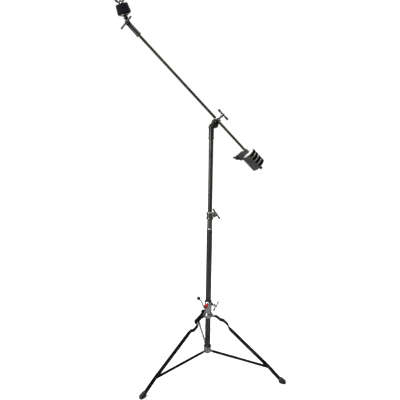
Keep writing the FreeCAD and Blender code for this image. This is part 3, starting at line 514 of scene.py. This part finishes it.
def make_felts():
    """Two thick felt washers: barrelled, soft at the rims and a little uneven."""
    place = post_frame()
    rim = FELT_RIM
    for label, (low, widths) in FELTS.items():
        high = low + FELT_THICKNESS
        profile = [(6.3, low + 0.4), (7.2, low), (14.0, low + 0.1), (widths[0] - rim, low)]
        for step in range(1, 6):
            turn = math.pi / 2 * step / 5
            profile.append((widths[0] - rim + rim * math.sin(turn), low + rim * (1 - math.cos(turn))))
        profile += [(widths[1] - 0.1, low + 6.0), (widths[1], low + 9.0), (widths[1] - 0.3, low + 12.0)]
        for step in range(6):
            turn = math.pi / 2 * step / 5
            profile.append((widths[2] - rim + rim * math.cos(turn), high - rim + rim * math.sin(turn)))
        profile += [(14.0, high - 0.1), (7.2, high), (6.3, high - 0.4), (6.2, low + 8.8),
                    (6.3, low + 0.4)]

        def uneven(angle, height, seed=low):
            spot = Vector((math.cos(angle) * 1.4, math.sin(angle) * 1.4, height * 0.11 + seed))
            return 0.28 * noise.noise(spot) + 0.10 * noise.noise(spot * 4.1)
        piece = skin(f"{label}_soft", [turned(place, profile, 84, uneven)], finishes["felt"],
                     "felt", label, label)


def make_wing_nut():
    """A cast wing nut: a waisted hub, a flange and two raised, rounded ears."""
    place = post_frame()
    start = NUT_LOW
    bore = POST_BORE_RADIUS
    hub = [(bore, start), (9.2, start), (9.6, start + 0.7), (9.4, start + 1.8), (7.7, start + 2.9),
           (6.9, start + 5.0), (6.2, start + 8.6), (5.4, start + 9.5), (bore, start + 9.6),
           (bore, start)]
    tubes = [turned(place, hub, 36)]
    for side in (-1, 1):
        spine = [(4.9, 3.4, 2.2, 2.0), (7.0, 4.6, 2.8, 2.0), (9.6, 6.6, 3.2, 1.9),
                 (12.2, 9.4, 3.7, 1.9), (14.6, 12.6, 4.5, 2.0), (16.1, 14.6, 4.6, 2.1),
                 (17.2, 16.4, 4.0, 2.0), (17.9, 17.8, 2.7, 1.6), (18.3, 18.6, 0.3, 0.2)]
        stations = []
        for index, (x, z, wide, thick) in enumerate(spine):
            before, after = spine[max(index - 1, 0)], spine[min(index + 1, len(spine) - 1)]
            way = Vector((side * (after[0] - before[0]), 0, after[1] - before[1])).normalized()
            stations.append((Vector((side * x, 0, start + z)), Vector((-way.z, 0, way.x)) * wide,
                             Vector((0, thick, 0))))
        tubes.append(rounded_bar(place, stations, 20, 2.3))
    skin("wing_nut_cast", tubes, finishes["screw_chrome"], "screw_chrome", "wing_nut", "wing_nut")


def make_cup():
    """A spun cup under the felts: a bright rolled rim over a dark cone."""
    place = post_frame()
    bore = POST_BORE_RADIUS
    profile = [(bore, 19.6), (6.6, 19.6), (7.6, 20.8), (9.0, 23.0), (15.0, 26.0), (19.5, 27.6),
               (21.4, 28.0), (22.2, 28.6), (22.4, 29.4), (22.0, 30.3), (21.0, 30.7), (19.6, 30.5),
               (15.0, 29.2), (6.5, 28.8), (bore, 28.8), (bore, 19.6)]
    skin("cup_spun", [turned(place, profile, 72)], finishes["cast_chrome"], "screw_chrome", "head",
         "cup_washer")


def make_rod_cap():
    """A moulded cap, pushed well over the lower end of the boom."""
    slide = JOINTS["boom_slide"]
    place = local_frame(frame_point(), slide["axis"], (0, 1, 0))
    low = ROD_END
    profile = [(0.05, low - 15.5), (3.4, low - 15.5), (5.2, low - 14.4), (6.1, low - 12.0),
               (6.3, low - 2.0), (6.1, low - 0.1), (3.7, low - 0.1), (3.7, low + 12), (0.05, low + 12)]
    skin("rod_cap_moulded", [turned(place, profile, 40)], finishes["black_plastic"],
         "black_plastic", "boom", "rod_cap")


def frame_point():
    """The point on the boom's axis that its lengths are counted from, square to the tilt pivot."""
    along = Vector(JOINTS["boom_slide"]["axis"])
    pivot = Vector(JOINTS["boom_tilt"]["pos_m"])
    square = Vector((along.z, 0, -along.x))
    return pivot + square * BOOM_OFFSET


def make_post_thread():
    """The rolled thread that shows on the post above the wing nut."""
    skin("post_thread", [threaded(post_frame(), 4.22, *THREAD_ABOVE_NUT)],
         finishes["screw_chrome"], "screw_chrome", "head")


# ---------------------------------------------------------------- feet

FEET = {"left": 210.0, "right": 330.0, "rear": 90.0}


def make_feet():
    """Moulded boots: a rounded toe, a flat sole and a rounded heel."""
    for name, angle in FEET.items():
        place = Matrix.Rotation(math.radians(angle), 4, "Z")
        stations = []
        for x, low, high, half in (
                (350.2, 13.5, 20.5, 4.0), (350.8, 9.0, 25.0, 7.0), (352.6, 4.2, 28.2, 8.4),
                (355.5, 1.0, 30.0, 9.2), (359.5, 0.2, 30.0, 9.6), (364.0, 0.0, 28.6, 9.7),
                (369.0, 0.0, 26.2, 9.6), (374.0, 0.2, 23.2, 9.3), (378.5, 1.0, 19.8, 8.6),
                (381.4, 2.6, 16.8, 7.4), (383.2, 5.0, 14.2, 5.6), (384.0, 7.4, 11.8, 2.8)):
            stations.append((Vector((x, 0, (low + high) / 2)), Vector((0, half, 0)),
                             Vector((0, 0, (high - low) / 2))))
        boot = rounded_bar(place, stations, 32, 3.0)
        skin(f"foot_{name}_boot", [boot], finishes["rubber"], "rubber", f"leg_{name}",
             f"foot_{name}")


# ---------------------------------------------------------------- put it together

bpy.context.scene.view_settings.view_transform = "Standard"
point_camera()
light_studio()
lay_floor()
finishes = make_materials()
paint_frame(finishes)
make_screws()
make_felts()
make_wing_nut()
make_post_thread()
make_cup()
make_rod_cap()
make_feet()
